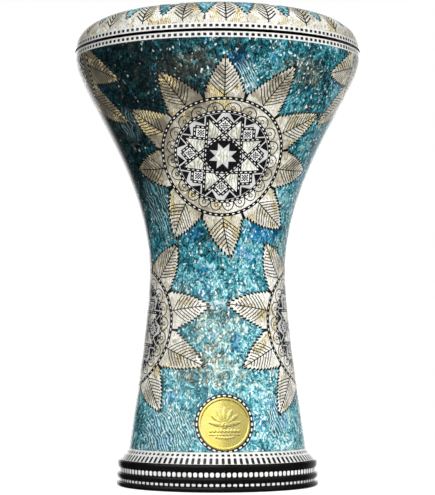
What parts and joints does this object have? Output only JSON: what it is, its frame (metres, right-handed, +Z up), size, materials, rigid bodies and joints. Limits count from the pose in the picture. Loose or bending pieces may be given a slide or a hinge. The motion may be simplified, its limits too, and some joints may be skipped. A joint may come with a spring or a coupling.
{
  "type": "darbuka",
  "caption": "Goblet-shaped hand drum with a pearl-inlaid cast shell, an open flared foot, a screwed crown ring and a white film head.",
  "frame": {"origin": "on the drum's axis, in the plane of the foot's bottom face that it stands on", "axes": "+Z up along the drum's axis, from the open foot to the playing head; -Y is the front, with the main medallion and the badge"},
  "size_m": [0.2794, 0.2794, 0.4504],
  "materials": {
    "black_lacquered_aluminium": "gloss black lacquer on cast aluminium",
    "cast_aluminium": "satin cast aluminium",
    "hoop_aluminium": "rolled aluminium hoop",
    "screw_steel": "zinc plated steel",
    "teal_pearl": "dyed mother-of-pearl mosaic under clear gloss lacquer",
    "cream_pearl": "natural mother-of-pearl under clear gloss lacquer",
    "white_pearl": "white pearl strip under clear gloss lacquer",
    "black_resin": "black resin line work under clear gloss lacquer",
    "gold_badge": "polished gold-coloured embossed sheet",
    "head_film": "white coated polyester film"
  },
  "bodies": {
    "drum": {"drum_shell": "black_lacquered_aluminium", "body_pearl_veneer": "teal_pearl", "medallion_front": "cream_pearl", "medallion_back": "cream_pearl", "medallion_left": "cream_pearl", "medallion_right": "cream_pearl", "rim_medallion_left": "cream_pearl", "rim_medallion_right": "cream_pearl", "rim_border_band": "white_pearl", "badge_border": "black_resin", "gold_badge": "gold_badge", "foot_flare_band": "white_pearl", "foot_band_upper": "white_pearl", "foot_band_lower": "white_pearl", "drumhead_membrane": "head_film"},
    "ring": {"tension_ring": "cast_aluminium", "ring_pearl_veneer": "cream_pearl", "ring_border_band": "white_pearl", "drumhead_hoop": "hoop_aluminium", "drumhead_collar": "head_film", "screw_washer_1": "screw_steel", "screw_washer_2": "screw_steel", "screw_washer_3": "screw_steel", "screw_washer_4": "screw_steel", "screw_washer_5": "screw_steel", "screw_washer_6": "screw_steel", "screw_washer_7": "screw_steel", "screw_washer_8": "screw_steel"},
    "screw_1": {"tension_screw_1": "screw_steel"},
    "screw_2": {"tension_screw_2": "screw_steel"},
    "screw_3": {"tension_screw_3": "screw_steel"},
    "screw_4": {"tension_screw_4": "screw_steel"},
    "screw_5": {"tension_screw_5": "screw_steel"},
    "screw_6": {"tension_screw_6": "screw_steel"},
    "screw_7": {"tension_screw_7": "screw_steel"},
    "screw_8": {"tension_screw_8": "screw_steel"}
  },
  "joints": [
    {"name": "ring_travel", "type": "slide", "parent": "drum", "child": "ring", "axis": [0, 0, -1], "range_m": [-0.002, 0.0012], "deforming": ["drumhead_collar"]},
    {"name": "screw_1_turn", "type": "hinge", "parent": "ring", "child": "screw_1", "pos_m": [0.04592, -0.11087, 0.44], "axis": [0, 0, -1], "range_deg": [-905, 545]},
    {"name": "screw_2_turn", "type": "hinge", "parent": "ring", "child": "screw_2", "pos_m": [0.11087, -0.04592, 0.44], "axis": [0, 0, -1], "range_deg": [-905, 545]},
    {"name": "screw_3_turn", "type": "hinge", "parent": "ring", "child": "screw_3", "pos_m": [0.11087, 0.04592, 0.44], "axis": [0, 0, -1], "range_deg": [-905, 545]},
    {"name": "screw_4_turn", "type": "hinge", "parent": "ring", "child": "screw_4", "pos_m": [0.04592, 0.11087, 0.44], "axis": [0, 0, -1], "range_deg": [-905, 545]},
    {"name": "screw_5_turn", "type": "hinge", "parent": "ring", "child": "screw_5", "pos_m": [-0.04592, 0.11087, 0.44], "axis": [0, 0, -1], "range_deg": [-905, 545]},
    {"name": "screw_6_turn", "type": "hinge", "parent": "ring", "child": "screw_6", "pos_m": [-0.11087, 0.04592, 0.44], "axis": [0, 0, -1], "range_deg": [-905, 545]},
    {"name": "screw_7_turn", "type": "hinge", "parent": "ring", "child": "screw_7", "pos_m": [-0.11087, -0.04592, 0.44], "axis": [0, 0, -1], "range_deg": [-905, 545]},
    {"name": "screw_8_turn", "type": "hinge", "parent": "ring", "child": "screw_8", "pos_m": [-0.04592, -0.11087, 0.44], "axis": [0, 0, -1], "range_deg": [-905, 545]}
  ],
  "couplings": [
    {"joint": "screw_1_turn", "follows": "ring_travel", "rad_per_m": 7854},
    {"joint": "screw_2_turn", "follows": "ring_travel", "rad_per_m": 7854},
    {"joint": "screw_3_turn", "follows": "ring_travel", "rad_per_m": 7854},
    {"joint": "screw_4_turn", "follows": "ring_travel", "rad_per_m": 7854},
    {"joint": "screw_5_turn", "follows": "ring_travel", "rad_per_m": 7854},
    {"joint": "screw_6_turn", "follows": "ring_travel", "rad_per_m": 7854},
    {"joint": "screw_7_turn", "follows": "ring_travel", "rad_per_m": 7854},
    {"joint": "screw_8_turn", "follows": "ring_travel", "rad_per_m": 7854}
  ]
}
